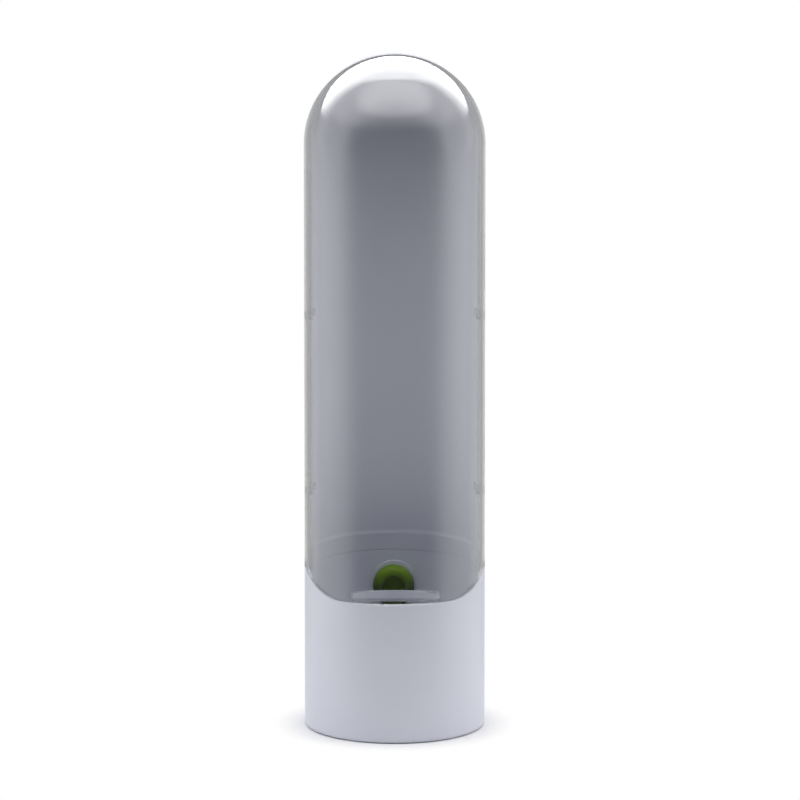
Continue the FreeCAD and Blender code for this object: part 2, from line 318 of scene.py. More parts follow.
def closed_sheet(name, skins, material, round_plate=False):
    """Solid between two skins, each a list of rows of points. A round plate's rows are rings."""
    shape = bmesh.new()
    grids = [[[shape.verts.new(Vector(p) * MM) for p in row] for row in skin] for skin in skins]
    rows, columns = len(skins[0]), len(skins[0][0])
    for near, far in zip(grids, (False, True)):
        for r in range(rows - 1):
            for c in range(columns - 1):
                quad = [near[r][c], near[r][c + 1], near[r + 1][c + 1], near[r + 1][c]]
                shape.faces.new(quad[::-1] if far else quad)
    edge = [(rows - 1, c) for c in range(columns)]
    if not round_plate:
        edge += [(r, columns - 1) for r in range(rows - 2, -1, -1)]
        edge += [(0, c) for c in range(columns - 2, -1, -1)]
        edge += [(r, 0) for r in range(1, rows)]
    for (r, c), (r2, c2) in zip(edge, edge[1:]):
        shape.faces.new([grids[0][r][c], grids[0][r2][c2], grids[1][r2][c2], grids[1][r][c]])
    return closed_body(name, shape, material)


# What shapes both skins of a domed wall
WALL_SIZES = ("Dome Z", "Foot Z", "Foot Corner", "Foot Half Flat", "Gap", "Facing",
              "Upright Share")


def skin_group():
    """Node group: a point on one skin of a wall that stands on a sill and closes in a dome."""
    tree = bpy.data.node_groups.new("domed_skin", "GeometryNodeTree")
    for name in ("Along", "Up", "Radius") + WALL_SIZES:
        tree.interface.new_socket(name, in_out="INPUT", socket_type="NodeSocketFloat")
    tree.interface.new_socket("Point", in_out="OUTPUT", socket_type="NodeSocketVector")
    given = add(tree, "NodeGroupInput").outputs
    # The parting plane cuts the skin this far round
    ratio = calc(tree, "DIVIDE", given["Gap"], given["Radius"])
    reach = calc(tree, "ARCCOSINE", ratio)
    climb = ranged(tree, given["Up"], (given["Upright Share"], 1.0), (0.0, reach))
    cosine = calc(tree, "COSINE", climb)
    ring = calc(tree, "MULTIPLY", cosine, given["Radius"])
    ratio = calc(tree, "DIVIDE", given["Gap"], ring)
    reach = calc(tree, "ARCCOSINE", ratio)
    turn = calc(tree, "MULTIPLY", given["Along"], reach)
    across = calc(tree, "SINE", turn)
    away = calc(tree, "COSINE", turn)
    spoke = calc(tree, "MULTIPLY", ring, given["Facing"])
    flat = add(tree, "ShaderNodeCombineXYZ", {"X": across, "Y": away})
    flat = add(tree, "ShaderNodeVectorMath", {0: flat.outputs[0], "Scale": spoke},
               operation="SCALE")
    # The foot is level along the flat and follows a quarter round beyond it
    split = add(tree, "ShaderNodeSeparateXYZ", {0: flat.outputs[0]})
    side = calc(tree, "ABSOLUTE", split.outputs["X"])
    past = calc(tree, "SUBTRACT", side, given["Foot Half Flat"])
    past = calc(tree, "MAXIMUM", past, 0.0)
    past = calc(tree, "POWER", past, 2.0)
    square = calc(tree, "POWER", given["Foot Corner"], 2.0)
    drop = calc(tree, "SUBTRACT", square, past)
    drop = calc(tree, "MAXIMUM", drop, 0.0)
    drop = calc(tree, "SQRT", drop)
    foot = calc(tree, "SUBTRACT", given["Foot Z"], drop)
    upright = ranged(tree, given["Up"], (0.0, given["Upright Share"]), (foot, given["Dome Z"]))
    sine = calc(tree, "SINE", climb)
    height = calc(tree, "MULTIPLY_ADD", sine, given["Radius"], upright)
    lift = add(tree, "ShaderNodeCombineXYZ", {"Z": height})
    point = add(tree, "ShaderNodeVectorMath", {0: flat.outputs[0], 1: lift.outputs[0]},
                operation="ADD")
    add(tree, "NodeGroupOutput", {"Point": point.outputs[0]})
    return tree


def domed_wall_tree():
    """Node tree: a half-round wall on a sill, closed by a quarter-sphere dome."""
    tree = bpy.data.node_groups.new("domed_half_wall", "GeometryNodeTree")
    tree.interface.new_socket("Geometry", in_out="INPUT", socket_type="NodeSocketGeometry")
    for name in ("Outer Radius", "Wall") + WALL_SIZES:
        tree.interface.new_socket(name, in_out="INPUT", socket_type="NodeSocketFloat")
    for name in ("Columns", "Rows"):
        tree.interface.new_socket(name, in_out="INPUT", socket_type="NodeSocketInt")
    tree.interface.new_socket("Material", in_out="INPUT", socket_type="NodeSocketMaterial")
    tree.interface.new_socket("Geometry", in_out="OUTPUT", socket_type="NodeSocketGeometry")
    given = add(tree, "NodeGroupInput").outputs
    grid = add(tree, "GeometryNodeMeshGrid", {"Size X": 2.0, "Size Y": 2.0,
                                              "Vertices X": given["Columns"],
                                              "Vertices Y": given["Rows"]})
    position = add(tree, "GeometryNodeInputPosition")
    spot = add(tree, "ShaderNodeSeparateXYZ", {0: position.outputs[0]})
    up = calc(tree, "MULTIPLY_ADD", spot.outputs["Y"], 0.5, 0.5)
    inner_radius = calc(tree, "SUBTRACT", given["Outer Radius"], given["Wall"])
    skin = skin_group()
    shared = {name: given[name] for name in WALL_SIZES}
    shared |= {"Along": spot.outputs["X"], "Up": up}
    outer = tree.nodes.new("GeometryNodeGroup")
    inner = tree.nodes.new("GeometryNodeGroup")
    for node, radius in ((outer, given["Outer Radius"]), (inner, inner_radius)):
        node.node_tree = skin
        for name, socket in (shared | {"Radius": radius}).items():
            tree.links.new(socket, node.inputs[name])
    noted = add(tree, "GeometryNodeStoreNamedAttribute", {
        "Geometry": grid.outputs["Mesh"], "Name": "inner_point", "Value": inner.outputs["Point"]},
        data_type="FLOAT_VECTOR", domain="POINT")
    outside = add(tree, "GeometryNodeSetPosition", {"Geometry": noted.outputs[0],
                                                    "Position": outer.outputs["Point"]})
    through = add(tree, "GeometryNodeExtrudeMesh", {"Mesh": outside.outputs[0],
                                                    "Offset Scale": 0.0, "Individual": False})
    inner_point = add(tree, "GeometryNodeInputNamedAttribute", {"Name": "inner_point"},
                      data_type="FLOAT_VECTOR")
    inside = add(tree, "GeometryNodeSetPosition", {"Geometry": through.outputs["Mesh"],
                                                   "Selection": through.outputs["Top"],
                                                   "Position": inner_point.outputs[0]})
    facing_out = add(tree, "GeometryNodeFlipFaces", {0: outside.outputs[0]})
    both = add(tree, "GeometryNodeJoinGeometry")
    tree.links.new(facing_out.outputs[0], both.inputs[0])
    tree.links.new(inside.outputs[0], both.inputs[0])
    closed = add(tree, "GeometryNodeMergeByDistance", {"Geometry": both.outputs[0],
                                                       "Distance": MERGE_DISTANCE})
    clean = add(tree, "GeometryNodeRemoveAttribute", {"Geometry": closed.outputs[0],
                                                      "Name": "inner_point"})
    real = add(tree, "GeometryNodeRealizeInstances", {"Geometry": clean.outputs[0]})
    painted = add(tree, "GeometryNodeSetMaterial", {"Geometry": real.outputs[0],
                                                    "Material": given["Material"]})
    add(tree, "NodeGroupOutput", {"Geometry": painted.outputs[0]})
    return tree


def domed_wall(name, tree, sizes, material):
    """A settled wall of the body's outer size from the tree, with its sharp edges eased."""
    obj = body_object(name, bpy.data.meshes.new(name), material)
    nodes = obj.modifiers.new("domed_half_wall", "NODES")
    nodes.node_group = tree
    sockets = {s.name: s.identifier for s in tree.interface.items_tree if s.in_out == "INPUT"}
    shared = {"Outer Radius": BODY_RADIUS * MM, "Dome Z": DOME_Z * MM,
              "Upright Share": UPRIGHT_SHARE, "Columns": HALF_ROUND_STEPS + 1, "Rows": WALL_ROWS}
    for label, value in (shared | sizes).items():
        nodes[sockets[label]] = value
    nodes[sockets["Material"]] = material
    return edges_eased(settled(obj), EDGE_ROUND, 2)


def lofted(name, columns, material, around=False, hollow=False):
    """Solid through columns of points, closed round the columns (around) or round each (hollow)."""
    shape = bmesh.new()
    grid = [[shape.verts.new(Vector(p) * MM) for p in column] for column in columns]
    for left, right in zip(grid, grid[1:] + grid[:1] if around else grid[1:]):
        steps = list(zip(left, left[1:], right, right[1:]))
        if hollow:
            steps.append((left[-1], left[0], right[-1], right[0]))
        for a, b, c, d in steps:
            shape.faces.new([a, c, d, b])
    if hollow:
        shape.faces.new(grid[0])
        shape.faces.new(grid[-1])
    return closed_body(name, shape, material)


def eased(corners, steps=5):
    """Points of an outline of (across, up, round) corners, each rounded by its own radius."""
    points = []
    for i, (across, up, radius) in enumerate(corners):
        here = Vector((across, up))
        if radius == 0:
            points.append(here)
            continue
        back = (Vector(corners[i - 1][:2]) - here).normalized()
        ahead = (Vector(corners[(i + 1) % len(corners)][:2]) - here).normalized()
        half = back.angle(ahead) / 2
        if half > math.radians(89):
            # A straight corner repeats its point, so that outlines keep the same count
            points += [here] * (steps + 1)
            continue
        centre = here + (back + ahead).normalized() * (radius / math.sin(half))
        start = (here + back * (radius / math.tan(half)) - centre).normalized()
        end = (here + ahead * (radius / math.tan(half)) - centre).normalized()
        points += [centre + start.slerp(end, s / steps) * radius for s in range(steps + 1)]
    return points


def combined(obj, other, operation):
    """Joins another solid to obj, or cuts it out of obj."""
    tool = obj.modifiers.new("with_" + other.name, "BOOLEAN")
    tool.operation = operation
    tool.solver = "EXACT"
    tool.object = other
    settled(obj)
    bpy.data.objects.remove(other)
    return obj


def edges_eased(obj, width, segments=3):
    """Rounds the sharp edges of a solid."""
    ease = obj.modifiers.new("eased_edges", "BEVEL")
    ease.width = width * MM
    ease.segments = segments
    ease.angle_limit = math.radians(EASE_ANGLE)
    return settled(obj)


# Reservoir cup

def sill_z(x):
    """Height of the sill at this distance from the middle."""
    past = max(abs(x) - SILL_HALF_FLAT, 0.0)
    return SILL_CORNER_Z - math.sqrt(SILL_CORNER ** 2 - past ** 2)


def cup_column(degrees, zone):
    """Outline of the cup at one place round it, from the middle underneath to the middle inside."""
    turn = math.radians(degrees)
    foot = BODY_RADIUS - CUP_EDGE_ROUND - FOOT_WIDTH
    outline = [(0, CUP_UNDERSIDE, 0), (foot - CUP_UNDERSIDE, CUP_UNDERSIDE, FOOT_ROUND),
               (foot, 0, FOOT_ROUND), (BODY_RADIUS, 0, CUP_EDGE_ROUND)]
    # Every zone gives the rim four corners, so that the columns have as many points
    if zone == "front":
        outline += [(r, sill_z(math.sin(turn) * r), ease) for r, ease in (
            (BODY_RADIUS, SILL_BEVEL), (BODY_RADIUS - SILL_POINTS_IN[0], SILL_POINT_ROUND),
            (CUP_INNER + SILL_POINTS_IN[1], SILL_POINT_ROUND), (CUP_INNER, FINE_ROUND))]
    else:
        ledge_r, ledge_z = {"side": (SPIGOT_ROOM - RIM_FLAT, RIM_Z),
                            "back": (SPIGOT_ROOM, SPIGOT_ROOM_Z)}[zone]
        outline += [(BODY_RADIUS, RIM_Z, RIM_BEVEL), (SPIGOT_ROOM, RIM_Z, RIM_STEP_ROUND),
                    (ledge_r, ledge_z, FINE_ROUND), (CUP_INNER, ledge_z, FINE_ROUND)]
    outline += [(CUP_INNER, CUP_FLOOR, CUP_FLOOR_ROUND), (0, CUP_FLOOR, 0)]
    return [(r * math.sin(turn), -r * math.cos(turn), z) for r, z in eased(outline)]


def turned_along_y(name, outline, material, count=72):
    """Solid turned about the plug's axis, from an outline of (radius, y) points."""
    columns = []
    for i in range(count):
        turn = math.tau * (i + 0.5) / count
        columns.append([(r * math.cos(turn), y, PLUG_Z + r * math.sin(turn)) for r, y in outline])
    return lofted(name, columns, material, around=True)


def disc_on_wall(name, radius, skins, material, count=72):
    """Round plate about the plug's axis that follows the wall's curve, between two radii."""
    grids = []
    for skin in skins:
        grids.append([])
        for r in (0.0, radius / 2, radius):
            row = []
            for i in range(count + 1):
                turn = math.tau * (i + 0.5) / count
                x = r * math.cos(turn)
                row.append((x, math.sqrt(skin ** 2 - x ** 2), PLUG_Z + r * math.sin(turn)))
            grids[-1].append(row)
    return closed_sheet(name, grids, material, round_plate=True)


def reservoir_cup(material):
    """Cup lofted round its outline, with the plug's seat, collar and hole in its back."""
    turns = [-90 + 180 * i / HALF_ROUND_STEPS for i in range(HALF_ROUND_STEPS + 1)]
    places = [(turn, "front") for turn in turns]
    places += [(90, "side"), (CUP_SIDE_END, "side")]
    places += [(turn, "back") for turn in [CUP_SIDE_END] + [t + 180 for t in turns[2:-2]]
               + [360 - CUP_SIDE_END]]
    places += [(360 - CUP_SIDE_END, "side"), (270, "side")]
    cup = lofted("reservoir_cup", [cup_column(*p) for p in places], material, around=True)
    seat = disc_on_wall("flange_seat", SEAT_RADIUS, (SEAT_SKIN, BODY_RADIUS + CUT_PAST), material)
    combined(cup, seat, "DIFFERENCE")
    collar = eased([(0, COLLAR_Y, 0), (COLLAR_RADIUS, COLLAR_Y, COLLAR_ROUND),
                    (COLLAR_RADIUS, COLLAR_ROOT_Y, 0), (0, COLLAR_ROOT_Y, 0)])
    combined(cup, turned_along_y("plug_collar", collar, material), "UNION")
    near, far = COLLAR_Y - 2 * CUT_PAST, BODY_RADIUS + CUT_PAST
    hole = [(0, near), (HOLE_RADIUS, near), (HOLE_RADIUS, far), (0, far)]
    return combined(cup, turned_along_y("plug_hole", hole, material), "DIFFERENCE")


# Back shell

def spigot(material):
    """Band under the shell that enters the cup, with a lead at its foot and a blend at its top."""
    root = BODY_RADIUS - SHELL_WALL + JOIN
    outline = eased([(SPIGOT_OUTER, SPIGOT_ROOT_Z, 0), (SPIGOT_OUTER, SPIGOT_Z, SPIGOT_LEAD),
                     (CUP_INNER, SPIGOT_Z, FINE_ROUND), (CUP_INNER, RIM_Z, SPIGOT_NECK_ROUND),
                     (root, RIM_Z + SPIGOT_BLEND, 0), (root, SPIGOT_ROOT_Z, 0)])
    columns = []
    for i in range(HALF_ROUND_STEPS + 1):
        column = []
        for r, z in outline:
            start = math.asin(SPIGOT_START_Y / r)
            turn = start + (math.pi - 2 * start) * i / HALF_ROUND_STEPS
            column.append((r * math.cos(turn), r * math.sin(turn), z))
        columns.append(column)
    return lofted("spigot", columns, material, hollow=True)


def hoop_tree():
    """Node tree: a four-cornered section carried along a path."""
    tree = bpy.data.node_groups.new("hoop_along_path", "GeometryNodeTree")
    tree.interface.new_socket("Geometry", in_out="INPUT", socket_type="NodeSocketGeometry")
    corners = ("Inner Front", "Outer Front", "Outer Back", "Inner Back")
    for name in corners:
        tree.interface.new_socket(name, in_out="INPUT", socket_type="NodeSocketVector")
    tree.interface.new_socket("Material", in_out="INPUT", socket_type="NodeSocketMaterial")
    tree.interface.new_socket("Geometry", in_out="OUTPUT", socket_type="NodeSocketGeometry")
    given = add(tree, "NodeGroupInput").outputs
    section = add(tree, "GeometryNodeCurvePrimitiveQuadrilateral", {
        "Point " + str(i + 1): given[name] for i, name in enumerate(corners)}, mode="POINTS")
    swept = add(tree, "GeometryNodeCurveToMesh", {
        "Curve": given["Geometry"], "Profile Curve": section.outputs[0], "Fill Caps": True})
    real = add(tree, "GeometryNodeRealizeInstances", {"Geometry": swept.outputs[0]})
    painted = add(tree, "GeometryNodeSetMaterial", {"Geometry": real.outputs[0],
                                                    "Material": given["Material"]})
    add(tree, "NodeGroupOutput", {"Geometry": painted.outputs[0]})
    return tree


def cover_hoop(material):
    """Hoop inside the shell's front edge, up one side and down the other, notched for lugs."""
    curve = bpy.data.curves.new("hoop_path", "CURVE")
    curve.dimensions = "3D"
    steps = 60
    arch = [(HOOP_INNER * math.cos(a), 0, DOME_Z + HOOP_INNER * math.sin(a))
            for a in (math.pi * i / steps for i in range(steps + 1))]
    path = [(HOOP_INNER, 0, HOOP_Z)] + arch + [(-HOOP_INNER, 0, HOOP_Z)]
    spline = curve.splines.new("POLY")
    spline.points.add(len(path) - 1)
    for point, place in zip(spline.points, path):
        point.co = [c * MM for c in place] + [1.0]
    path_object = bpy.data.objects.new("hoop_path", curve)
    bpy.context.scene.collection.objects.link(path_object)
    tree = hoop_tree()
    nodes = path_object.modifiers.new("hoop_along_path", "NODES")
    nodes.node_group = tree
    sockets = {s.name: s.identifier for s in tree.interface.items_tree if s.in_out == "INPUT"}
    inside_wall = BODY_RADIUS - SHELL_WALL / 2
    for label, r, y in (("Inner Front", HOOP_INNER, HOOP_FRONT_Y),
                        ("Outer Front", HOOP_OUTER, HOOP_FRONT_Y),
                        ("Outer Back", inside_wall, HOOP_BACK_Y),
                        ("Inner Back", HOOP_INNER, HOOP_BACK_Y)):
        across = math.sqrt(r ** 2 - y ** 2) - HOOP_INNER
        nodes[sockets[label]] = (across * MM, y * MM, 0.0)
    nodes[sockets["Material"]] = material
    bpy.context.view_layer.update()
    mesh = bpy.data.meshes.new_from_object(
        path_object.evaluated_get(bpy.context.evaluated_depsgraph_get()))
    bpy.data.objects.remove(path_object)
    hoop = body_object("cover_hoop", mesh, material)
    for z in LUG_ZS:
        low, high = z - LUG_NOTCH / 2, z + LUG_NOTCH / 2
        notch = closed_sheet("lug_notch", [
            [[(-BODY_RADIUS, y, level), (BODY_RADIUS, y, level)]
             for y in (-NOTCH_REACH, NOTCH_REACH)] for level in (low, high)], material)
        combined(hoop, notch, "DIFFERENCE")
    return edges_eased(hoop, EDGE_ROUND, 2)


def back_shell(tree, material):
    """Half-round back and dome, with the spigot below and the hoop inside its front edge."""
    shell = domed_wall("back_shell", tree, {
        "Wall": SHELL_WALL * MM, "Foot Z": RIM_Z * MM, "Foot Corner": 0.0,
        "Foot Half Flat": BODY_RADIUS * MM, "Gap": 0.0, "Facing": 1.0}, material)
    combined(shell, spigot(material), "UNION")
    return combined(shell, cover_hoop(material), "UNION")


# Clear cover

def finger_tab(material):
    """Straight bar, flat below and sloped above, higher at the middle, rooted in the wall."""
    root = BODY_RADIUS - COVER_WALL / 2
    low, top = TAB_Z
    columns = []
    steps = 40
    for i in range(steps + 1):
        x = TAB_HALF_WIDTH * (2 * i / steps - 1)
        crown = top - TAB_CROWN + math.sqrt(TAB_CROWN ** 2 - x ** 2)
        slope = (top - TAB_NOSE_Z) / (-BODY_RADIUS - TAB_FRONT_Y)
        shoulder = -BODY_RADIUS - (top - crown) / slope
        back = -math.sqrt(root ** 2 - x ** 2)
        section = eased([(back, low, 0), (TAB_FRONT_Y, low, TAB_ROUND),
                         (TAB_FRONT_Y, TAB_NOSE_Z, TAB_ROUND), (shoulder, crown, 0),
                         (back, crown, 0)])
        columns.append([(x, y, z) for y, z in section])
    return edges_eased(lofted("finger_tab", columns, material, hollow=True), EDGE_ROUND, 2)


def cover_lug(side, z, material):
    """Lug rooted inside the cover's wall, with a tongue that reaches behind the shell's edge."""
    low, high = z - LUG_LENGTH / 2, z + LUG_LENGTH / 2
    steps = 6
    stations = [(LUG_ROOT_Y + (COVER_GAP + LUG_ROOT_Y) * -s / steps, BODY_RADIUS - COVER_WALL / 2)
                for s in range(steps + 1)]
    stations += [(-COVER_GAP + (LUG_TIP_Y + COVER_GAP) * s / steps, LUG_OUTER)
                 for s in range(steps + 1)]
    columns = []
    for y, outer in stations:
        turn = math.asin(y / LUG_OUTER)
        columns.append([(side * r * math.cos(turn), r * math.sin(turn), level)
                        for r, level in ((LUG_INNER, low), (outer, low), (outer, high),
                                         (LUG_INNER, high))])
    return lofted("cover_lug", columns, material, hollow=True)


def clear_cover(tree, material):
    """Half-round front and dome, with the finger tab and two lugs on each side."""
    cover = domed_wall("clear_cover", tree, {
        "Wall": COVER_WALL * MM, "Foot Z": SILL_CORNER_Z * MM,
        "Foot Corner": (SILL_CORNER - COVER_GAP) * MM, "Foot Half Flat": SILL_HALF_FLAT * MM,
        "Gap": COVER_GAP * MM, "Facing": -1.0}, material)
    combined(cover, finger_tab(material), "UNION")
    for side in (-1, 1):
        for z in LUG_ZS:
            combined(cover, cover_lug(side, z, material), "UNION")
    return cover


# Water plug

def pull_ear(material):
    """Tongue that hangs from the flange along the wall's curve, round at its end and edges."""
    inner, outer = EAR_SKINS
    tip = EAR_END_Z + EAR_HALF_WIDTH
    middle = (tip + EAR_START_Z) / 2
    end, side, top = 32, 8, 12    # steps round the end, up each side and along the top
    rim = [(EAR_HALF_WIDTH * math.cos(a), tip - EAR_HALF_WIDTH * math.sin(a))
           for a in (math.pi * i / end for i in range(end + 1))]
    heights = [tip + (EAR_START_Z - tip) * i / side for i in range(1, side + 1)]
    rim += [(-EAR_HALF_WIDTH, z) for z in heights]
    rim += [(EAR_HALF_WIDTH * (2 * i / top - 1), EAR_START_Z) for i in range(1, top)]
    rim += [(EAR_HALF_WIDTH, z) for z in reversed(heights)]
    columns = []
    for x, z in rim:
        reach = math.hypot(x, z - middle)
        section = eased([(0, inner, 0), (reach / 2, inner, 0), (reach, inner, SOFT_EDGE_ROUND),
                         (reach, outer, SOFT_EDGE_ROUND), (reach / 2, outer, 0), (0, outer, 0)])
        columns.append([(x * out / reach, math.sqrt(skin ** 2 - (x * out / reach) ** 2),
                         middle + (z - middle) * out / reach) for out, skin in section])
    return lofted("pull_ear", columns, material, around=True)


def water_plug(material):
    """Stub with a blind hollow and a full round end, a flange that follows the wall, and an ear."""
    crown = (PLUG_RADIUS - PLUG_BORE) / 2
    deep = sum(FLANGE_SKINS) / 2
    stub = eased([(0, CUP_INNER, 0), (PLUG_BORE, CUP_INNER, PLUG_BORE_ROUND),
                  (PLUG_BORE, PLUG_END_Y, crown), (PLUG_RADIUS, PLUG_END_Y, crown),
                  (PLUG_RADIUS, deep, 0), (0, deep, 0)], steps=8)
    plug = turned_along_y("silicone_water_plug", stub, material, count=96)
    flange = disc_on_wall("plug_flange", FLANGE_RADIUS, FLANGE_SKINS, material)
    edges_eased(flange, SOFT_EDGE_ROUND)
    combined(plug, flange, "UNION")
    return combined(plug, pull_ear(material), "UNION")


def wall_normals(mesh):
    """Gives round walls and domes their exact normals, so that clear parts don't bend the view."""
    normals = [corner.vector.copy() for corner in mesh.corner_normals]
    spokes = [Vector((v.co.x, v.co.y, max(v.co.z - DOME_Z * MM, 0))) for v in mesh.vertices]
    for face in mesh.polygons:
        reach = [spokes[i].length for i in face.vertices]
        if min(reach) > 0 and max(reach) - min(reach) < ROUND_WALL_SLACK * MM:
            for corner, i in zip(face.loop_indices, face.vertices):
                spoke = spokes[i].normalized()
                share = spoke.dot(face.normal)
                if abs(share) > math.cos(math.radians(ROUND_WALL_ANGLE)):
                    normals[corner] = spoke if share > 0 else -spoke
    mesh.normals_split_custom_set(normals)


def finish_piece(obj, node, body):
    """Shades a finished piece, hangs it on its body and lets it stand for its CAD node."""
    obj.data.shade_smooth()
    obj.data.set_sharp_from_angle(angle=math.radians(SHARP_ANGLE))
    wall_normals(obj.data)
    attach(obj, body)
    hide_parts(node)


# Studio

# Levels of the lights, as they show in a mirror: 1 is white
LAMP_WATTS = 4                 # for each square metre of a lamp at level 1
ROOM_LEVEL = 0.045
BACKDROP_FALL = 7.0
COVE_LEVEL = 0.9
LEFT_LEVEL = 0.58
RIGHT_LEVEL = 0.66
TOP_LEVEL = 1.85
CANOPY_LEVEL = 6.5
FRONT_CANOPY_SHARE = 0.3
SOFTBOX_EDGE = 0.5             # outer share of a softbox's face over which it fades

# Places and sizes in the studio, in metres
LENS = 375.8                   # millimetres, on a 36 mm sensor
VIEW_MIDDLE = (0.0019, 0.0, 0.1193)
VIEW_AZIMUTH = -0.8            # degrees
VIEW_CLIMB = 11.4
VIEW_DISTANCE = 3.0
CANOPY_SIZE = (4.8, 2.8)
CANOPY_PLACE = (0.0, 0.1, 0.82)
SIDE_PLACE = (1.2, 0.0, 0.4)
SIDE_SIZE = (1.6, 1.6)
TOP_PLACE = (0.0, -0.32, 1.01)
TOP_SIZE = (1.8, 1.3)
LAMP_AIM = (0.0, 0.0, 0.12)
TABLE_SIDE = 0.6
TABLE_FRONT = -0.25
TABLE_BACK = 0.6
PAPER_EDGE = (0.032, 0.045)    # from here to here the paper turns plain white for the lens
SWEEP_EDGE = (0.05, 0.2)       # and here it ends for reflections and for the view through glass

# Canopy's cloth, in metres on it
ARC_NOSE = 0.3                 # the bright part's edge is a hyperbola of this half width
ARC_Y = -0.22                  # with its middle here
ARC_SOFT_ACROSS = (0.1, 0.7)   # between these distances from the middle
ARC_SOFT_START = (0.82, 0.25)  # the edge starts to brighten sooner
ARC_FULL = 1.15
FRONT_PATCH_Y = -0.1
FRONT_PATCH_SIZE = (4.2, 2.4)
FRONT_PATCH_EDGE = (0.05, 0.5)
SIDE_FADE = (1.2, 2.4)

# Room and white cards, by the Y of the direction: -1 is in front of the object, 1 is behind it
COVE_YS = (-0.6, 0.5)
CARD_FRONT_YS = (-0.75, -0.25)
CARD_BACK_YS = (0.5, 0.85)
CARD_BACK_SHARE = 0.4


def softbox(name, place, aim, size, level):
    """Area lamp that fades towards the edge of its face."""
    lamp = bpy.data.lights.new(name, "AREA")
    lamp.shape = "RECTANGLE"
    lamp.size, lamp.size_y = size
    lamp.energy = level * LAMP_WATTS * size[0] * size[1]
    lamp.use_nodes = True
    tree = lamp.node_tree
    tree.nodes.clear()
    face = add(tree, "ShaderNodeNewGeometry").outputs["Parametric"]
    off = add(tree, "ShaderNodeVectorMath", {0: face, 1: (0.5, 0.5, 0.0)}, operation="DISTANCE")
    fade = ranged(tree, off.outputs["Value"], ((1 - SOFTBOX_EDGE) / 2, 0.5), (1.0, 0.0),
                  smooth=True)
    cloth = add(tree, "ShaderNodeEmission", {"Strength": fade})
    add(tree, "ShaderNodeOutputLight", {"Surface": cloth.outputs[0]})
    obj = bpy.data.objects.new(name, lamp)
    obj.location = place
    obj.rotation_euler = (Vector(aim) - Vector(place)).to_track_quat("-Z", "Y").to_euler()
    obj.visible_camera = False
    obj.visible_transmission = False
    bpy.context.scene.collection.objects.link(obj)


def canopy(cover):
    """Cloth over the top, which only the cover shows: bright behind a curved edge, dim in front."""
    lamp = bpy.data.lights.new("canopy", "AREA")
    lamp.shape = "RECTANGLE"
    lamp.size, lamp.size_y = CANOPY_SIZE
    lamp.energy = CANOPY_LEVEL * LAMP_WATTS * lamp.size * lamp.size_y
    lamp.use_nodes = True
    tree = lamp.node_tree
    tree.nodes.clear()
    face = add(tree, "ShaderNodeNewGeometry").outputs["Parametric"]
    wide, deep = CANOPY_SIZE
    place = add(tree, "ShaderNodeMapping", {
        "Vector": face, "Scale": (wide, deep, 0.0),
        "Location": (CANOPY_PLACE[0] - wide / 2, CANOPY_PLACE[1] - deep / 2, 0.0)})
    split = add(tree, "ShaderNodeSeparateXYZ", {0: place.outputs[0]})
    # The bright part's edge is a hyperbola, which the dome shows as an arc
    across = calc(tree, "ABSOLUTE", split.outputs["X"])
    curve = calc(tree, "POWER", across, 2.0)
    curve = calc(tree, "MULTIPLY_ADD", curve, 1.0, ARC_NOSE ** 2)
    curve = calc(tree, "SQRT", curve)
    behind = calc(tree, "ADD", split.outputs["Y"], -ARC_Y)
    behind = calc(tree, "DIVIDE", behind, curve)
    soft = ranged(tree, across, ARC_SOFT_ACROSS, ARC_SOFT_START)
    bright = ranged(tree, behind, (soft, ARC_FULL), smooth=True)
    front = add(tree, "ShaderNodeVectorMath", {0: place.outputs[0], 1: (0.0, FRONT_PATCH_Y, 0.0)},
                operation="SUBTRACT")
    front = add(tree, "ShaderNodeVectorMath", {0: front.outputs[0], 1: FRONT_PATCH_SIZE + (1.0,)},
                operation="DIVIDE")
    front = add(tree, "ShaderNodeVectorMath", {0: front.outputs[0]}, operation="LENGTH")
    dim = ranged(tree, front.outputs["Value"], FRONT_PATCH_EDGE, (FRONT_CANOPY_SHARE, 0.0),
                 smooth=True)
    both = calc(tree, "MAXIMUM", bright, dim)
    side = ranged(tree, across, SIDE_FADE, (1.0, 0.0), smooth=True)
    both = calc(tree, "MULTIPLY", both, side)
    cloth = add(tree, "ShaderNodeEmission", {"Strength": both})
    add(tree, "ShaderNodeOutputLight", {"Surface": cloth.outputs[0]})
    obj = bpy.data.objects.new("canopy", lamp)
    obj.location = CANOPY_PLACE
    obj.visible_camera = False
    obj.visible_transmission = False
    obj.visible_diffuse = False
    bpy.context.scene.collection.objects.link(obj)
    shown_on = bpy.data.collections.new("canopy_shown_on")
    shown_on.objects.link(cover)
    obj.light_linking.receiver_collection = shown_on


def camera_and_view(scene, away):
    """Long lens on the object's middle, from the direction given by away."""
    scene.view_settings.view_transform = "Standard"
    scene.cycles.use_denoising = True
    scene.cycles.transmission_bounces = 12
    scene.cycles.transparent_max_bounces = 16
    lens = bpy.data.cameras.new("camera")
    lens.lens = LENS
    lens.sensor_width = 36.0
    camera = bpy.data.objects.new("camera", lens)
    camera.location = Vector(VIEW_MIDDLE) + away * VIEW_DISTANCE
    camera.rotation_euler = (-away).to_track_quat("-Z", "Y").to_euler()
    scene.collection.objects.link(camera)
    scene.camera = camera


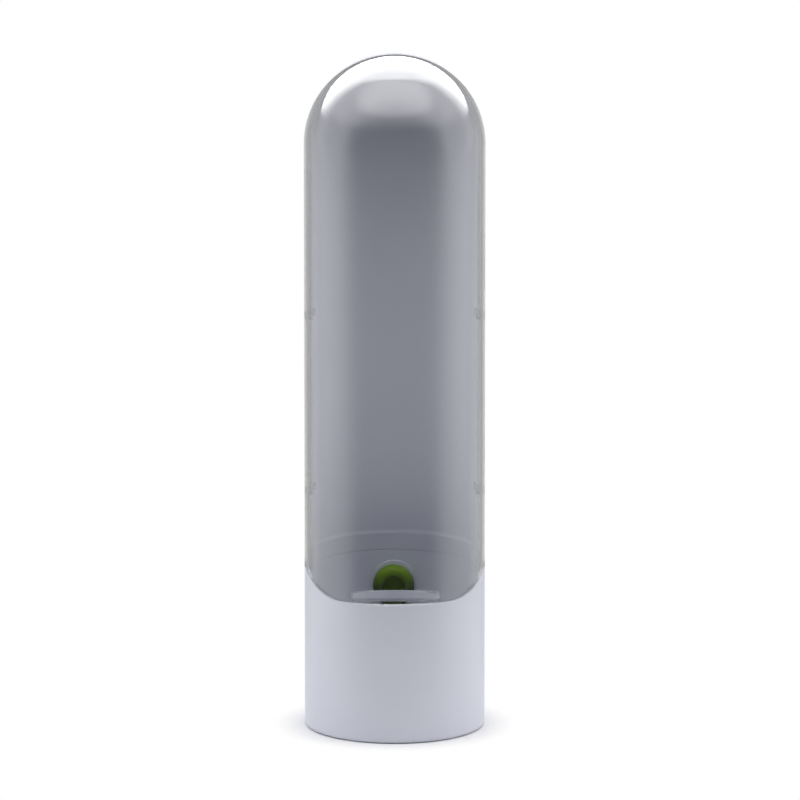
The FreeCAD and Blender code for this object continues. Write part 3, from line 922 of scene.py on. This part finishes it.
def room(scene, away):
    """White all round for the lens and through the clear parts, and a dim room in front."""
    world = bpy.data.worlds.new("studio")
    scene.world = world
    world.use_nodes = True
    tree = world.node_tree
    tree.nodes.clear()
    direction = add(tree, "ShaderNodeTexCoord").outputs["Generated"]
    split = add(tree, "ShaderNodeSeparateXYZ", {0: direction})
    lit = ranged(tree, split.outputs["Y"], COVE_YS, (ROOM_LEVEL, COVE_LEVEL))
    # In reflections the backdrop is white straight behind and darker to the sides
    facing = add(tree, "ShaderNodeVectorMath", {0: direction, 1: -away}, operation="DOT_PRODUCT")
    facing = calc(tree, "MAXIMUM", facing.outputs["Value"], 0.0)
    backdrop = calc(tree, "POWER", facing, BACKDROP_FALL)
    # Polished surfaces also show a white card on each side
    card_front = ranged(tree, split.outputs["Y"], CARD_FRONT_YS, (ROOM_LEVEL, 1.0), smooth=True)
    card_back = ranged(tree, split.outputs["Y"], CARD_BACK_YS, (1.0, CARD_BACK_SHARE),
                       smooth=True)
    cards = calc(tree, "MULTIPLY", card_front, card_back)
    mirrored = calc(tree, "MAXIMUM", cards, backdrop)
    path = add(tree, "ShaderNodeLightPath")
    around = add(tree, "ShaderNodeMix", {0: path.outputs["Is Glossy Ray"], 2: lit,
                                         3: mirrored})
    bounces = calc(tree, "ADD", path.outputs["Diffuse Depth"], path.outputs["Glossy Depth"])
    straight = calc(tree, "LESS_THAN", bounces, 0.5)
    through = calc(tree, "MULTIPLY", path.outputs["Is Transmission Ray"], straight)
    seen = calc(tree, "MAXIMUM", path.outputs["Is Camera Ray"], through)
    level = calc(tree, "MAXIMUM", around.outputs[0], seen)
    sky = add(tree, "ShaderNodeBackground", {"Color": linear("#FFFFFF"),
                                             "Strength": level})
    add(tree, "ShaderNodeOutputWorld", {"Surface": sky.outputs["Background"]})


def paper_table(scene):
    """White paper near the object, where it takes the shadow, and plain white further out."""
    table_mesh = bpy.data.meshes.new("table")
    table_mesh.from_pydata([(-TABLE_SIDE, TABLE_FRONT, 0), (TABLE_SIDE, TABLE_FRONT, 0),
                            (TABLE_SIDE, TABLE_BACK, 0), (-TABLE_SIDE, TABLE_BACK, 0)], [],
                           [(0, 1, 2, 3)])
    table = bpy.data.objects.new("table", table_mesh)
    scene.collection.objects.link(table)
    material, tree = new_material("white_paper_sweep")
    place = add(tree, "ShaderNodeTexCoord").outputs["Object"]
    paper = add(tree, "ShaderNodeBsdfDiffuse", {"Color": linear("#F4F4F6")})
    glow = add(tree, "ShaderNodeEmission", {"Color": linear("#FFFFFF"), "Strength": 1.0})
    out = add(tree, "ShaderNodeVectorMath", {0: place}, operation="LENGTH")
    white = ranged(tree, out.outputs["Value"], PAPER_EDGE, smooth=True)
    path = add(tree, "ShaderNodeLightPath")
    share = calc(tree, "MULTIPLY", path.outputs["Is Camera Ray"], white)
    mix = add(tree, "ShaderNodeMixShader", {"Fac": share, 1: paper.outputs["BSDF"],
                                            2: glow.outputs["Emission"]})
    # Polished surfaces see the sweep only near the object, and the backdrop and room beyond
    mirrors = calc(tree, "MAXIMUM", path.outputs["Is Glossy Ray"],
                   path.outputs["Is Transmission Ray"])
    far = ranged(tree, out.outputs["Value"], SWEEP_EDGE, smooth=True)
    open_share = calc(tree, "MULTIPLY", mirrors, far)
    gone = add(tree, "ShaderNodeBsdfTransparent")
    faded = add(tree, "ShaderNodeMixShader", {"Fac": open_share,
                                              1: mix.outputs["Shader"], 2: gone.outputs["BSDF"]})
    add(tree, "ShaderNodeOutputMaterial", {"Surface": faded.outputs["Shader"]})
    table_mesh.materials.append(material)


def studio(cover):
    """Camera, room, table and lamps."""
    scene = bpy.context.scene
    azimuth, climb = math.radians(VIEW_AZIMUTH), math.radians(VIEW_CLIMB)
    away = Vector((math.sin(azimuth) * math.cos(climb), -math.cos(azimuth) * math.cos(climb),
                   math.sin(climb)))
    camera_and_view(scene, away)
    room(scene, away)
    paper_table(scene)
    x, y, z = SIDE_PLACE
    softbox("left_softbox", (-x, y, z), LAMP_AIM, SIDE_SIZE, LEFT_LEVEL)
    softbox("right_softbox", (x, y, z), LAMP_AIM, SIDE_SIZE, RIGHT_LEVEL)
    softbox("top_softbox", TOP_PLACE, (TOP_PLACE[0], TOP_PLACE[1], 0), TOP_SIZE, TOP_LEVEL)
    canopy(cover)


def main():
    white, clear, green = white_moulded_abs(), clear_moulded_styrene(), green_silicone()
    wall_tree = domed_wall_tree()
    finish_piece(reservoir_cup(white), "base_cup", "cup")
    finish_piece(back_shell(wall_tree, white), "rear_shell", "housing")
    cover = clear_cover(wall_tree, clear)
    finish_piece(cover, "front_cover", "cover")
    finish_piece(water_plug(green), "water_plug", "plug")
    studio(cover)


main()
